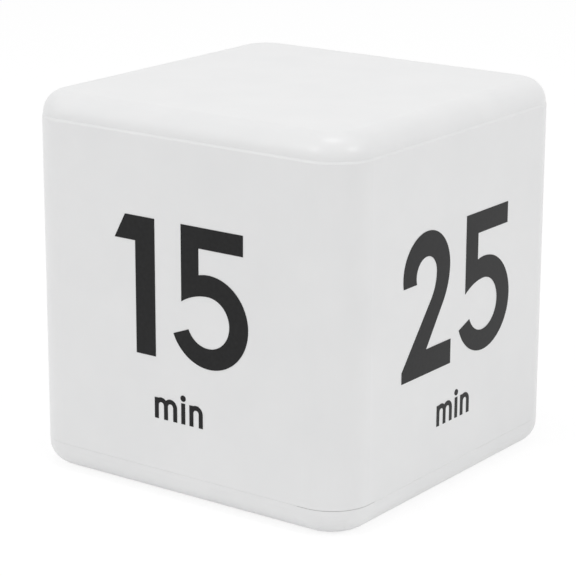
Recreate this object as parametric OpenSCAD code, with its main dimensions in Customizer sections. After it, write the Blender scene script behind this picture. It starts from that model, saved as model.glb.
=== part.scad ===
// Cube timer: set on a face, it counts down the number that points up.
// Frame: origin at the middle of the underside, +Z up, the 15 on the -Y face and the 25 on the +X face.

/* [Case] */
// Outer width and depth of the cube
case_w = 62; // [60:0.5:75]
// Overall height of the cube
case_h = 62; // [58:0.5:80]
// Radius of the upright corners, seen from above
corner_r = 7; // [6.5:0.1:9]
// Radius of the rounded edges at the top and the bottom
edge_r = 3.7; // [2:0.1:3.8]
// Thickness of the side walls
wall = 2; // [1.6:0.1:2.4]
// Height of the lid above the upper seam
lid_h = 3.75; // [3.6:0.05:6]
// Height of the base below the lower seam
base_h = 4.5; // [4:0.1:6]
// Thickness of the lid's top plate
lid_plate = 2; // [1.6:0.1:2.6]
// Thickness of the base's bottom plate
base_plate = 2.2; // [2:0.1:3]
// Width of the slope on the sleeve's upper outer edge
seam_chamfer = 0.12; // [0.1:0.01:0.5]
// Height of that slope
seam_slope = 0.35; // [0.1:0.05:0.6]
// How far the lid's sides stand back from the sleeve's
lid_inset = 0.15; // [0:0.05:0.4]
// Chamfer on the base's upper outer edge
base_chamfer = 0.06; // [0.05:0.01:0.2]
// Opening of the lower seam round the corner between the 15 and the 25
seam_relief = 0.07; // [0.05:0.01:0.2]
// Length of the open seam past that corner's round
relief_run = 1.5; // [1:0.5:8]

/* [Lid fit] */
// Depth of the skirt inside the sleeve
skirt_depth = 3; // [2:0.5:5]
// Thickness of the skirt
skirt_t = 1.2; // [1:0.1:1.6]
// Gap between the skirt and the sleeve
lid_clear = 0.15; // [0.1:0.05:0.3]
// Gap left outside the skirt's grip ribs
grip_clear = 0.03; // [0.02:0.01:0.05]
// Width of a grip rib
grip_w = 1; // [0.6:0.1:2]
// Distance between the two grip ribs of a side
grip_pitch = 24; // [10:1:36]
// Width of the thumbnail notch at the back of the lid
notch_w = 14; // [8:1:20]
// Depth of the thumbnail notch
notch_depth = 1.2; // [0.6:0.1:1.5]
// Height of the thumbnail notch
notch_h = 1; // [0.5:0.1:1.5]

/* [Base fit] */
// Height of the base's lip inside the sleeve
lip_h = 3; // [2:0.5:4]
// Thickness of the lip
lip_t = 1.2; // [1:0.1:1.6]
// Gap between the lip and the sleeve
base_clear = 0.1; // [0.05:0.05:0.2]
// Diameter of a screw boss at its top
boss_d = 6; // [5:0.1:6.6]
// Extra diameter of a boss at its foot
boss_draft = 0.4; // [0:0.1:0.8]
// Distance of a boss's centre from the inside of the walls
boss_inset = 5.2; // [4.8:0.1:6]
// Thickness of the webs that tie the bosses to the lip
web_t = 1; // [0.8:0.1:1.4]
// Depth of the pilot hole in a boss
pilot_depth = 11; // [10:0.5:16]

/* [Battery deck] */
// Thickness of the deck's floor
deck_t = 1.6; // [1.2:0.1:2.4]
// Gap between the deck and the sleeve
deck_clear = 0.25; // [0.15:0.05:0.4]
// Width of the sleeve's ribs that carry the deck
rib_w = 14; // [8:1:20]
// Depth of those ribs
rib_t = 1.5; // [1.2:0.1:2]
// Thickness of the walls at the ends of the cells
end_wall_t = 1.6; // [1.2:0.1:2]
// Thickness of the walls beside the cells
side_wall_t = 1.2; // [1:0.1:2]
// Height of the walls beside the cells
side_wall_h = 5.5; // [3:0.5:6]
// Gap between a cell and the wall beside it
side_clear = 0.4; // [0.2:0.1:1]
// Height of the cells above the deck's floor
saddle_h = 0.7; // [0.4:0.1:2]
// Thickness of the saddles under the cells
saddle_t = 1.2; // [0.8:0.1:2]
// Distance between the saddles
saddle_pitch = 14; // [8:1:17]
// Gap between a cell and its saddles
saddle_clear = 0.1; // [0.05:0.05:0.2]

/* [Cells] */
// Diameter of a cell
cell_d = 10.5; // [10:0.1:10.8]
// Length of a cell with its button
cell_len = 44.5; // [43.5:0.1:45]
// Diameter of the button
button_d = 3.8; // [3:0.1:4.2]
// Length of the button
button_len = 1; // [0.9:0.1:1.5]
// Gap between the two cells
cell_gap = 0.8; // [0.4:0.1:2]
// Gap between the cells and the lid's plate
head_room = 0.9; // [0.5:0.1:3]

/* [Contacts] */
// Thickness of the contact plates
plate_t = 0.4; // [0.3:0.05:0.6]
// Width of a contact plate
plate_w = 9.6; // [8:0.1:10]
// Height of a contact plate
plate_h = 8.4; // [7:0.1:9]
// Width of the guides that hold a plate
guide_w = 1; // [0.8:0.1:1.4]
// How far a guide laps over its plate
guide_lap = 0.6; // [0.4:0.1:0.8]
// Thickness of a guide in front of its plate
guide_t = 0.6; // [0.4:0.1:0.7]
// Gap round a plate in its guides
plate_clear = 0.1; // [0.05:0.05:0.2]
// Width of a solder tab
tab_w = 2.4; // [1.5:0.1:4]
// Length of a solder tab below the deck
tab_drop = 4; // [2:0.5:8]
// Length of a contact spring as fitted
spring_len = 3.5; // [3:0.1:4.5]
// Diameter of the spring wire
wire_d = 0.5; // [0.3:0.05:0.6]
// Radius of the spring at the plate, to the middle of the wire
spring_foot_r = 3.6; // [3:0.1:4]
// Radius of the spring at the cell
spring_tip_r = 1.8; // [1.5:0.1:2.2]
// Turns of the spring
spring_turns = 2.5; // [2:0.5:3]

/* [Screws] */
// Diameter of a case screw's thread
case_screw_d = 1.9; // [1.6:0.1:2.4]
// Length of a case screw under its head
case_screw_len = 10; // [8:0.5:10]
// Diameter of a case screw's head
case_head_d = 4.6; // [3.8:0.1:5.2]
// Height of a case screw's head
case_head_h = 1.7; // [1.2:0.1:2]
// Diameter of a board screw's thread
board_screw_d = 1.5; // [1.2:0.1:1.8]
// Length of a board screw under its head
board_screw_len = 5; // [4:0.5:5.5]
// Diameter of a board screw's head
board_head_d = 3.4; // [2.8:0.1:3.8]
// Height of a board screw's head
board_head_h = 1.2; // [0.8:0.1:1.6]
// Gap round a thread in its pilot hole
thread_clear = 0.05; // [0.03:0.01:0.1]
// Gap round a thread in a plain hole
hole_clear = 0.35; // [0.2:0.05:0.5]

/* [Board] */
// Thickness of the circuit board
board_t = 1.6; // [1:0.1:2]
// Height of the posts under the board
post_h = 4.8; // [4.6:0.1:7]
// Diameter of a post
post_d = 4; // [3.6:0.1:4.4]
// Gap between a post and the display holder
post_clear = 0.3; // [0.2:0.1:1]
// Board left outside the middle of a post
post_margin = 2.6; // [2:0.1:3]
// Place of the rear posts, towards the back
post_back_y = 9; // [6:0.5:12]
// Place of the front posts
post_front_y = -10; // [-11:0.5:-8.5]
// Depth of the board, front to back
board_d = 50; // [46:0.5:52]
// Gap between the board's corners and the bosses
board_clear = 0.6; // [0.4:0.1:1]
// Diameter of the drop of resin over the chip
blob_d = 10; // [6:0.5:11]
// Height of the drop
blob_h = 2.2; // [1:0.1:3]

/* [Display] */
// Width of the display glass
lcd_w = 36; // [30:0.5:38]
// Depth of the display glass
lcd_d = 22; // [18:0.5:23]
// Place of the display, towards the back
lcd_y = 9; // [8:0.5:11]
// Depth of the contact ledge on the front glass
ledge = 3; // [2.6:0.1:4]
// Thickness of each glass
glass_t = 1.1; // [0.7:0.1:1.2]
// Thickness of the reflector behind the glass
reflector_t = 0.2; // [0.1:0.05:0.3]
// Glass that the opening's rim covers at the left and the right
window_side = 2.5; // [2:0.1:5]
// Rear glass that the opening's rim covers at the front and the back
window_end = 2; // [1.5:0.1:3.5]
// How far the lens laps past the opening at the left and the right
lens_side = 3.5; // [1.5:0.1:6.5]
// How far the lens laps past the opening at the front and the back
lens_end = 3.5; // [1.5:0.1:4.5]
// Thickness of the lens
lens_t = 1; // [0.6:0.1:1.2]
// Depth of the lens's face above the rest plane
lens_sink = 0.3; // [0.2:0.1:0.6]
// Corner radius of the lens
lens_r = 2; // [1:0.5:4]
// Gap round the lens
lens_clear = 0.1; // [0.05:0.05:0.2]
// Wall of the display holder
holder_t = 0.9; // [0.7:0.1:1]
// Gap round the glass in the holder
holder_clear = 0.2; // [0.1:0.05:0.3]
// Gap above the reflector in the holder
roof_clear = 0.05; // [0.02:0.01:0.2]
// How far the holder's roof laps over the rear glass
roof_lap = 2; // [1:0.5:3]
// Width of the rubber contact strip
strip_w = 2; // [1.5:0.1:2.2]
// Glass left past each end of the strip
strip_margin = 1; // [0.5:0.1:3]

/* [Sounder] */
// Place of the sounder, to the right
sounder_x = -10; // [-10.5:0.1:-9]
// Place of the sounder, towards the back
sounder_y = -15.3; // [-15.6:0.1:-14.5]
// Diameter of the sounder's disc
disc_d = 18; // [14:0.5:18.5]
// Thickness of the disc
disc_t = 0.3; // [0.2:0.05:0.5]
// Diameter of the ceramic on the disc
ceramic_d = 13; // [9:0.5:13.5]
// Thickness of the ceramic
ceramic_t = 0.25; // [0.15:0.05:0.4]
// Height of the seat under the disc
seat_h = 1; // [0.6:0.1:1.5]
// How far the seat laps under the disc
seat_lap = 1.2; // [0.8:0.1:1.5]
// Wall of the ring round the disc
ring_t = 1; // [0.8:0.1:1.2]
// Height of the ring above the disc's underside
ring_h = 1.2; // [0.6:0.1:2]
// Gap between the disc and the ring
disc_clear = 0.15; // [0.1:0.05:0.2]
// Diameter of a sound hole
sound_d = 1.6; // [1:0.1:2]
// Distance between the rings of sound holes
sound_pitch = 3; // [2.4:0.1:3]
// Rings of sound holes round the middle one
sound_rings = 2; // [1:1:2]

/* [Switch] */
// Place of the switch, to the right
switch_x = 13; // [12.5:0.5:13.5]
// Place of the switch, towards the back
switch_y = -16.5; // [-17:0.5:-16]
// Travel of the knob over its three positions
travel = 4; // [3:0.5:4.5]
// Length of the knob's finger nub
nub_l = 5; // [4:0.5:6]
// Width of the nub
nub_w = 3.8; // [3:0.1:4]
// Depth of the nub's face above the rest plane
nub_sink = 0.5; // [0.3:0.1:1]
// Width of the grip grooves across the nub
groove_w = 0.6; // [0.4:0.1:0.8]
// Depth of those grooves
groove_depth = 0.3; // [0.2:0.1:0.6]
// Gap round the nub in its slot
nub_clear = 0.2; // [0.15:0.05:0.3]
// How far the knob's flange laps past the slot
flange_lap = 1; // [0.6:0.1:1.2]
// Thickness of the flange
flange_t = 0.8; // [0.6:0.1:0.9]
// Gap between the flange and the base, and its guides
knob_clear = 0.1; // [0.1:0.05:0.2]
// Thickness of the flange's guides
rail_t = 0.8; // [0.6:0.1:1]
// Height of the guides
rail_h = 1.4; // [1:0.1:2]
// Border of the finger recess round the slot
finger_border = 2.4; // [1.5:0.1:3]
// Depth of the finger recess
finger_depth = 1.2; // [0.8:0.1:1.4]
// Length of the switch's can
can_l = 9; // [8.6:0.1:10]
// Width of the can
can_w = 4.2; // [3.8:0.1:5]
// Height of the can
can_h = 3.3; // [3:0.1:3.4]
// Sheet thickness of the can
can_t = 0.3; // [0.2:0.05:0.4]
// Width of the lever
lever_w = 1.6; // [1.2:0.1:2]
// Width of the block inside the can past each side of the lever
block_margin = 0.7; // [0.5:0.1:1]
// Height of that block
block_h = 1.6; // [1:0.1:2]
// Gap round the lever
lever_clear = 0.15; // [0.1:0.05:0.2]
// Depth of the lever's pocket in the knob
pocket_depth = 0.6; // [0.4:0.1:0.8]

/* [Tilt switches] */
// Diameter of a tilt switch's can
tilt_d = 5; // [4.4:0.1:5.5]
// Length of the can
tilt_len = 11; // [9:0.5:12]
// Sheet thickness of the can
tilt_t = 0.3; // [0.2:0.05:0.4]
// Length of the plug in the can's open end
plug_len = 2.5; // [1.5:0.1:3]
// Gap between the ball and the can
ball_clear = 0.25; // [0.2:0.05:0.4]
// Gap between the ball and the can's ends
ball_end_clear = 0.1; // [0.05:0.05:0.2]
// Gap under the can, above the board
tilt_seat = 0.05; // [0.02:0.01:0.2]
// Distance between the middles of the two cans
tilt_spread = 14; // [13:0.5:16]
// Place of the pair, to the right
tilt_x = 6; // [5:0.5:7]
// Place of the pair, towards the back
tilt_y = 8; // [6:0.5:10]
// Distance between the two pins of a switch
pin_pitch = 2; // [1.6:0.1:2.6]
// Thickness of a pin
pin_t = 0.5; // [0.3:0.1:0.6]
// Length of a pin outside the plug
pin_len = 1.4; // [1:0.1:2]

/* [Leads] */
// Diameter of a battery lead
lead_d = 1.2; // [1:0.1:1.6]
// Diameter of a sounder lead
thin_lead_d = 0.8; // [0.6:0.1:1]

/* [Numbers] */
// Height of the front figures
front_figure_h = 22.1; // [16:0.1:24]
// Height of the right-hand figures
right_figure_h = 22.9; // [16:0.1:24]
// Height of the hidden figures
hidden_figure_h = 22.5; // [16:0.1:24]
// Height of a small letter without dot
letter_h = 3.4; // [2.5:0.1:4]
// Stroke of the letters
letter_stroke = 0.76; // [0.5:0.02:0.9]
// Distance from the middle of the figures down to the word's foot
word_drop = 21.1; // [19:0.1:22]
// Place of the word's middle, to the right of the print's middle
word_x = -0.6; // [-2:0.1:2]
// Place of the front print, to the right of the face's middle
front_shift = 0.4; // [-2:0.1:2]
// Place of the right-hand print, to the right of the face's middle
right_shift = -0.1; // [-2:0.1:2]
// Height of the front figures above the middle of the case
front_rise = 3.1; // [0:0.1:4]
// Height of the right-hand figures above the middle of the case
right_rise = 1.8; // [0:0.1:4]
// Height of the hidden figures above the middle of the case
hidden_rise = 2.4; // [0:0.1:4]
// Thickness of the print
ink_t = 0.06; // [0.03:0.01:0.1]

/* [Hidden] */
$fn = 64;
over = 1;                          // how far a cutter runs past the face that it cuts

// Case: half sizes, seam heights and the places of the walls in a profile that starts at a corner's centre
half = case_w / 2;
core = half - corner_r;
inner = half - wall;
inner_r = corner_r - wall;
seam_z = case_h - lid_h;
lid_out = corner_r - lid_inset;
lid_land = 0.05;                   // straight wall left between the lid's rounded edge and the seam
lid_round = min(edge_r, lid_h - lid_land);
base_round = min(edge_r, base_h - seam_relief - base_chamfer);
plate_under = case_h - lid_plate;
skirt_foot = seam_z - skirt_depth;
skirt_out = inner_r - lid_clear;
skirt_in = skirt_out - skirt_t;
lip_top = base_h + lip_h;
lip_out = inner_r - base_clear;
lip_in = lip_out - lip_t;
notch_r = (pow(notch_w / 2, 2) + pow(notch_depth, 2)) / (2 * notch_depth);

// Cells, contacts and deck, from the lid downwards
cell_pitch = cell_d + cell_gap;
cell_y = cell_pitch / 2;
cell_z = plate_under - head_room - cell_d / 2;
deck_top = cell_z - cell_d / 2 - saddle_h;
deck_z = deck_top - deck_t;
contact_x = (cell_len + spring_len) / 2;
end_wall_x = contact_x + plate_t;
wall_room = 0.5;                   // gap left between the end walls and the foot of the lid's skirt
end_wall_h = min(plate_h, skirt_foot - wall_room - deck_top);
bay_y = cell_y + cell_d / 2 + side_clear;
tab_x = contact_x + plate_t / 2;
tab_z = deck_z - tab_drop;

// Bosses and their screws
boss_at = inner - boss_inset;
boss_foot_d = boss_d + boss_draft;
case_pilot_d = case_screw_d + 2 * thread_clear;
case_hole_d = case_screw_d + 2 * hole_clear;

// Display and board, from the base upwards
window_y = lcd_y + ledge / 2;
rear_z = base_plate + glass_t;
reflector_z = rear_z + glass_t;
lcd_top = reflector_z + reflector_t;
ledge_y = lcd_y - lcd_d / 2;
rear_d = lcd_d - ledge;
window_w = lcd_w - 2 * window_side;
window_d = rear_d - 2 * window_end;
lens_w = window_w + 2 * lens_side;
lens_d = window_d + 2 * lens_end;
lens_depth = lens_sink + lens_t;
board_z = base_plate + post_h;
board_top = board_z + board_t;
post_x = lcd_w / 2 + holder_clear + holder_t + post_clear + post_d / 2;
board_w = 2 * (post_x + post_margin);
board_notch = boss_at - boss_foot_d / 2 - board_clear;
board_pilot_d = board_screw_d + 2 * thread_clear;
board_hole_d = board_screw_d + 2 * hole_clear;
pilot_floor = 0.6;                 // plastic left under a board screw's pilot hole
strip_l = lcd_w - 2 * strip_margin;

// Sounder
disc_z = base_plate + seat_h;
ceramic_z = disc_z + disc_t;
ring_in = disc_d / 2 + disc_clear;
ring_out = ring_in + ring_t;

// Switch
slot_l = nub_l + travel + 2 * nub_clear;
slot_w = nub_w + 2 * nub_clear;
flange_l = slot_l + travel + 2 * flange_lap;
flange_w = slot_w + 2 * flange_lap;
knob_z = base_plate + knob_clear;
knob_top = knob_z + flange_t;
can_z = board_z - can_h;
lever_foot = knob_top - pocket_depth + lever_clear;
lever_block_z = can_z + can_t + lever_clear;

// Tilt switches: the ball rests against the plug and rolls to the closed end
tilt_z = board_top + tilt_d / 2 + tilt_seat;
ball_d = tilt_d - 2 * tilt_t - 2 * ball_clear;
ball_at = -tilt_len / 2 + plug_len + ball_end_clear + ball_d / 2;

// Small parts on the board: places by hand, sizes by their usual cases
blob_at = [-12, 8];
crystal_at = [-13, -3];
crystal_d = 2;
crystal_l = 6;
chip_size = [2, 1.25, 0.5];
chip_pitch = 3.2;
resistor_row = [-6, -3.5];
resistor_count = 5;
capacitor_row = [-6, -6.5];
capacitor_count = 3;
capacitor_h = 1;
can_at = [6, -9];
electrolyte_d = 5;
electrolyte_h = 6;

// Routes of the leads, from the part that each leaves to the board
lead_pad = [-20.2, 3.5];
lead_route = [[-tab_x, cell_y, tab_z], [-tab_x, cell_y, tab_z - 3], [-23.4, 5.2, tab_z - 8],
    [-21.8, 4.6, 28], [-22.4, 4.2, 20], [lead_pad[0], lead_pad[1], board_top + 4],
    [lead_pad[0], lead_pad[1], board_top]];
thin_bow = 1.2;                    // how far a sounder lead bows out on its way to the board

// A round stretch of an outline
function arc(centre, r, from, to, steps) =
    [for (i = [0:steps]) let (a = from + (to - from) * i / steps) centre + r * [cos(a), sin(a)]];

function unit(v) = v / norm(v);

// Direction of a path at one of its points
function heading(path, i) = unit(path[min(i + 1, len(path) - 1)] - path[max(i - 1, 0)]);

// Smooth path through a list of points, with a number of steps in each span
function smooth(points, steps) = concat(
    [for (i = [0:len(points) - 2], s = [0:steps - 1])
        let (t = s / steps, a = points[max(i - 1, 0)], b = points[i], c = points[i + 1],
            d = points[min(i + 2, len(points) - 1)])
        b + (c - a) / 2 * t + (2 * a - 5 * b + 4 * c - d) / 2 * pow(t, 2)
            + (3 * b - a - 3 * c + d) / 2 * pow(t, 3)],
    [points[len(points) - 1]]);

// Solid tube along a path, where sides[i] points away from the path at its point i
module tube(path, sides, d, faces) {
    rings = len(path);
    points = [for (i = [0:rings - 1], k = [0:faces - 1])
        let (along = heading(path, i), u = unit(sides[i] - (sides[i] * along) * along), v = cross(along, u))
        path[i] + d / 2 * (cos(360 * k / faces) * u + sin(360 * k / faces) * v)];
    skin = [for (i = [0:rings - 2], k = [0:faces - 1])
        let (a = i * faces + k, b = i * faces + (k + 1) % faces)
        each [[a, a + faces, b], [b, a + faces, b + faces]]];
    last = (rings - 1) * faces;
    caps = [for (k = [1:faces - 2]) each [[0, k, k + 1], [last, last + k + 1, last + k]]];
    polyhedron(points, concat(skin, caps));
}

// A lead: a tube along a path that mostly runs upright, with straight ends and a smooth middle
module lead(route, d, steps) {
    last = len(route) - 1;
    path = concat([route[0]], smooth([for (i = [1:last - 1]) route[i]], steps), [route[last]]);
    tube(path, [for (p = path) [0, 1, 0]], d, 8);
}

// Quarter of a disc, and a rectangle with round corners made of such quarters
module quarter(r) {
    intersection() {
        circle(r);
        square(2 * r);
    }
}

module rounded_rect(w, d, r) {
    square([w - 2 * r, d], center = true);
    for (side = [-1, 1])
        translate([side * (w - r) / 2, 0]) square([r, d - 2 * r], center = true);
    for (k = [0:3])
        translate([(k == 0 || k == 3 ? 1 : -1) * (w / 2 - r), (k < 2 ? 1 : -1) * (d / 2 - r)])
            rotate(90 * k) quarter(r);
}

// Sweeps a profile round the case: x runs outwards from a corner's centre and y upwards
module round_case() {
    for (turn = [0:90:270])
        rotate([0, 0, turn]) translate([core, core, 0]) {
            rotate_extrude(angle = 90) children();
            rotate([90, 0, 0]) linear_extrude(2 * core) children();
        }
}

// Sweeps a profile round the corner between the 15 and the 25, and a run past it at both sides
module near_corner(run) {
    rotate([0, 0, -90]) translate([core, core, 0]) {
        rotate_extrude(angle = 90) children();
        rotate([90, 0, 0]) linear_extrude(run) children();
        rotate([90, 0, 90]) mirror([0, 0, 1]) linear_extrude(run) children();
    }
}

module at_corners(x, y) {
    for (sx = [-1, 1], sy = [-1, 1])
        translate([sx * x, sy * y, 0]) children();
}

module at_posts() {
    for (sx = [-1, 1], y = [post_front_y, post_back_y])
        translate([sx * post_x, y, 0]) children();
}

// Screw with a cross recess, its head's underside at z = 0
module screw(d, length, head_d, head_h) {
    slot_w = head_d / 8;
    difference() {
        union() {
            translate([0, 0, -length]) cylinder(d = d, h = length);
            cylinder(d = head_d, h = head_h);
        }
        for (turn = [0, 90])
            rotate([0, 0, turn])
                translate([-head_d / 4, -slot_w / 2, head_h / 2]) cube([head_d / 2, slot_w, head_h]);
    }
}

module sleeve_profile() {
    polygon([[inner_r, base_h], [corner_r, base_h], [corner_r, seam_z - seam_slope],
        [corner_r - seam_chamfer, seam_z], [inner_r, seam_z]]);
}

module sleeve() {
    rib_foot = lip_top + wall_room;
    color("white") {
        round_case() sleeve_profile();
        for (turn = [0:90:270])
            rotate([0, 0, turn]) translate([inner - rib_t, -rib_w / 2, rib_foot])
                cube([rib_t + wall / 2, rib_w, deck_z - rib_foot]);
    }
}

module lid_profile() {
    difference() {
        union() {
            translate([0, seam_z]) square([lid_out - lid_round, lid_h]);
            translate([0, seam_z]) square([lid_out, lid_h - lid_round]);
            translate([lid_out - lid_round, case_h - lid_round]) quarter(lid_round);
            translate([skirt_in, skirt_foot]) square([skirt_t, skirt_depth]);
        }
        translate([-over, skirt_foot - over]) square([skirt_in + over, plate_under - skirt_foot + over]);
    }
}

module top_lid() {
    grip_t = lid_clear - grip_clear;
    color("white") difference() {
        union() {
            round_case() lid_profile();
            translate([-core, -core, plate_under]) cube([2 * core, 2 * core, lid_plate]);
            for (turn = [0:90:270], side = [-1, 1])
                rotate([0, 0, turn]) translate([core + skirt_out, side * grip_pitch / 2, skirt_foot])
                    translate([-skirt_t / 2, -grip_w / 2, 0])
                        cube([skirt_t / 2 + grip_t, grip_w, skirt_depth]);
        }
        translate([0, half - lid_inset - notch_depth + notch_r, seam_z - over])
            cylinder(r = notch_r, h = notch_h + over);
    }
}

module base_profile() {
    difference() {
        union() {
            square([corner_r - base_round, base_h]);
            translate([0, base_round]) square([corner_r, base_h - base_round]);
            translate([corner_r - base_round, base_round]) rotate(-90) quarter(base_round);
            translate([lip_in, base_h]) square([lip_t, lip_h]);
        }
        translate([-over, base_plate]) square([lip_in + over, lip_top]);
        translate([corner_r, base_h]) rotate(45) square(base_chamfer * sqrt(2), center = true);
    }
}

module sound_holes() {
    cylinder(d = sound_d, h = 2 * base_plate + over, center = true);
    for (ring = [1:sound_rings], k = [0:6 * ring - 1])
        rotate([0, 0, 60 * k / ring]) translate([ring * sound_pitch, 0, 0])
            cylinder(d = sound_d, h = 2 * base_plate + over, center = true);
}

module base_cover() {
    color("white") difference() {
        union() {
            round_case() base_profile();
            translate([-core, -core, 0]) cube([2 * core, 2 * core, base_plate]);
            at_corners(boss_at, boss_at)
                translate([0, 0, base_plate / 2])
                    cylinder(d1 = boss_foot_d, d2 = boss_d, h = deck_z - base_plate / 2);
            for (turn = [0:90:270], side = [-1, 1])
                rotate([0, 0, turn]) translate([boss_at, side * boss_at - web_t / 2, base_plate / 2])
                    cube([core + lip_in + lip_t / 2 - boss_at, web_t, lip_top - base_plate / 2]);
            at_posts()
                translate([0, 0, base_plate / 2]) cylinder(d = post_d, h = board_z - base_plate / 2);
            translate([sounder_x, sounder_y, base_plate / 2])
                cylinder(r = ring_out, h = disc_z + ring_h - base_plate / 2);
            for (side = [-1, 1])
                translate([switch_x - slot_l / 2, switch_y - rail_t / 2
                    + side * (flange_w / 2 + knob_clear + rail_t / 2), base_plate / 2])
                    cube([slot_l, rail_t, base_plate / 2 + rail_h]);
        }
        near_corner(relief_run)
            translate([lip_out + base_clear / 2, base_h - seam_relief]) square([wall + over, over]);
        at_corners(boss_at, boss_at)
            translate([0, 0, deck_z - pilot_depth]) cylinder(d = case_pilot_d, h = pilot_depth + over);
        at_posts()
            translate([0, 0, base_plate + pilot_floor]) cylinder(d = board_pilot_d, h = post_h);
        translate([sounder_x, sounder_y, base_plate])
            cylinder(r = disc_d / 2 - seat_lap, h = seat_h + ring_h + over);
        translate([sounder_x, sounder_y, disc_z]) cylinder(r = ring_in, h = ring_h + over);
        translate([sounder_x, sounder_y, 0]) sound_holes();
        translate([0, window_y, -over]) {
            linear_extrude(base_plate + 2 * over) rounded_rect(window_w, window_d, lens_r / 2);
            linear_extrude(lens_depth + over)
                rounded_rect(lens_w + 2 * lens_clear, lens_d + 2 * lens_clear, lens_r + lens_clear);
        }
        translate([switch_x, switch_y, -over]) {
            linear_extrude(base_plate + 2 * over) square([slot_l, slot_w], center = true);
            linear_extrude(finger_depth + over)
                rounded_rect(slot_l + 2 * finger_border, slot_w + 2 * finger_border, slot_w / 2);
        }
    }
}

module battery_deck() {
    floor_w = 2 * (inner - deck_clear);
    bay_l = 2 * (end_wall_x + end_wall_t);
    bay_w = 2 * (bay_y + side_wall_t);
    saddle_top = cell_z - deck_top - cell_d / 4;
    color("whitesmoke") difference() {
        union() {
            translate([0, 0, deck_z]) linear_extrude(deck_t)
                rounded_rect(floor_w, floor_w, inner_r - deck_clear);
            translate([0, 0, deck_top]) {
                for (side = [-1, 1]) {
                    translate([side * (end_wall_x + end_wall_t / 2), 0, 0]) linear_extrude(end_wall_h)
                        square([end_wall_t, bay_w], center = true);
                    translate([0, side * (bay_y + side_wall_t / 2), 0]) linear_extrude(side_wall_h)
                        square([bay_l, side_wall_t], center = true);
                }
                for (k = [-1:1])
                    translate([k * saddle_pitch, 0, 0]) linear_extrude(saddle_top)
                        square([saddle_t, 2 * bay_y + side_wall_t], center = true);
            }
            for (side = [-1, 1]) plate_guides(-1, side * cell_y, plate_w);
            plate_guides(1, 0, cell_pitch + plate_w);
        }
        for (side = [-1, 1]) {
            translate([0, side * cell_y, cell_z]) rotate([0, 90, 0])
                cylinder(d = cell_d + 2 * saddle_clear, h = 2 * saddle_pitch + 2 * saddle_t, center = true);
            translate([-tab_x, side * cell_y, deck_z - over]) linear_extrude(deck_t + 2 * over)
                square([plate_t + 2 * plate_clear, tab_w + 2 * plate_clear], center = true);
        }
        at_corners(boss_at, boss_at)
            translate([0, 0, deck_z - over]) cylinder(d = case_hole_d, h = deck_t + 2 * over);
    }
}

// Pair of hooked guides on an end wall, one at each side of a contact plate
module plate_guides(end, y, w) {
    hook = plate_t + plate_clear + guide_t;
    for (side = [-1, 1])
        translate([0, y + side * (w / 2 + plate_clear), deck_top]) mirror([end < 0 ? 1 : 0, 0, 0])
            mirror([0, side < 0 ? 1 : 0, 0]) translate([end_wall_x - hook, 0, 0]) {
                cube([hook, guide_w, end_wall_h]);
                translate([0, -guide_lap, 0]) cube([guide_t, guide_lap + guide_w / 2, end_wall_h]);
            }
}

// A cell along X, its button towards the given end and touching that end's contact plate
module cell(end) {
    mirror([end < 0 ? 1 : 0, 0, 0]) rotate([0, 90, 0]) {
        translate([0, 0, contact_x - cell_len]) cylinder(d = cell_d, h = cell_len - button_len);
        translate([0, 0, contact_x - button_len]) cylinder(d = button_d, h = button_len);
    }
}

module cell_back() {
    color("dimgray") translate([0, cell_y, cell_z]) cell(1);
}

module cell_front() {
    color("dimgray") translate([0, -cell_y, cell_z]) cell(-1);
}

// Contact plate against an end wall, with a solder tab through the deck where one is asked for
module contact_plate(end, y, w, tab) {
    x = end > 0 ? contact_x : -end_wall_x;
    translate([x, y - w / 2, deck_top]) cube([plate_t, w, plate_h]);
    if (tab)
        translate([x, y - tab_w / 2, tab_z]) cube([plate_t, tab_w, deck_top + plate_h / 2 - tab_z]);
}

module contact_positive() {
    color("silver") contact_plate(-1, -cell_y, plate_w, true);
}

module contact_negative() {
    color("silver") contact_plate(-1, cell_y, plate_w, true);
}

module contact_bridge() {
    color("silver") contact_plate(1, 0, cell_pitch + plate_w, false);
}

// Path of a contact spring: straight out of the plate, round the cone's turns, and straight to the cell
spring_steps = 8 * spring_turns;
spring_rise = spring_len - 2 * wire_d;
function spring_radius(i) = spring_foot_r + (spring_tip_r - spring_foot_r) * i / spring_steps;
function spring_point(i) = [spring_radius(i) * cos(45 * i), spring_radius(i) * sin(45 * i),
    wire_d + spring_rise * i / spring_steps];
spring_path = concat([[spring_foot_r, 0, 0]], [for (i = [0:spring_steps]) spring_point(i)],
    [spring_point(spring_steps) + [0, 0, wire_d]]);
spring_sides = concat([[1, 0, 0]], [for (i = [0:spring_steps]) [cos(45 * i), sin(45 * i), 0]],
    [[cos(45 * spring_steps), sin(45 * spring_steps), 0]]);
spring_gap = min([for (i = [0:spring_steps], k = [i + 4:1:spring_steps])
    norm(spring_point(i) - spring_point(k))]) - wire_d;
echo(str("least gap of a contact spring's wire to itself, mm: ", spring_gap));

module contact_spring() {
    tube(spring_path, spring_sides, wire_d, 6);
}

module spring_negative() {
    color("silver") translate([-contact_x, cell_y, cell_z]) rotate([0, 90, 0]) contact_spring();
}

module spring_bridge() {
    color("silver") translate([contact_x, -cell_y, cell_z]) rotate([0, -90, 0]) contact_spring();
}

module lead_negative() {
    color("black") lead(lead_route, lead_d, 2);
}

module lead_positive() {
    color("red") lead([for (p = lead_route) [p[0], -p[1], p[2]]], lead_d, 2);
}

module case_screws() {
    color("gray") at_corners(boss_at, boss_at)
        translate([0, 0, deck_top]) screw(case_screw_d, case_screw_len, case_head_d, case_head_h);
}

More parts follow.
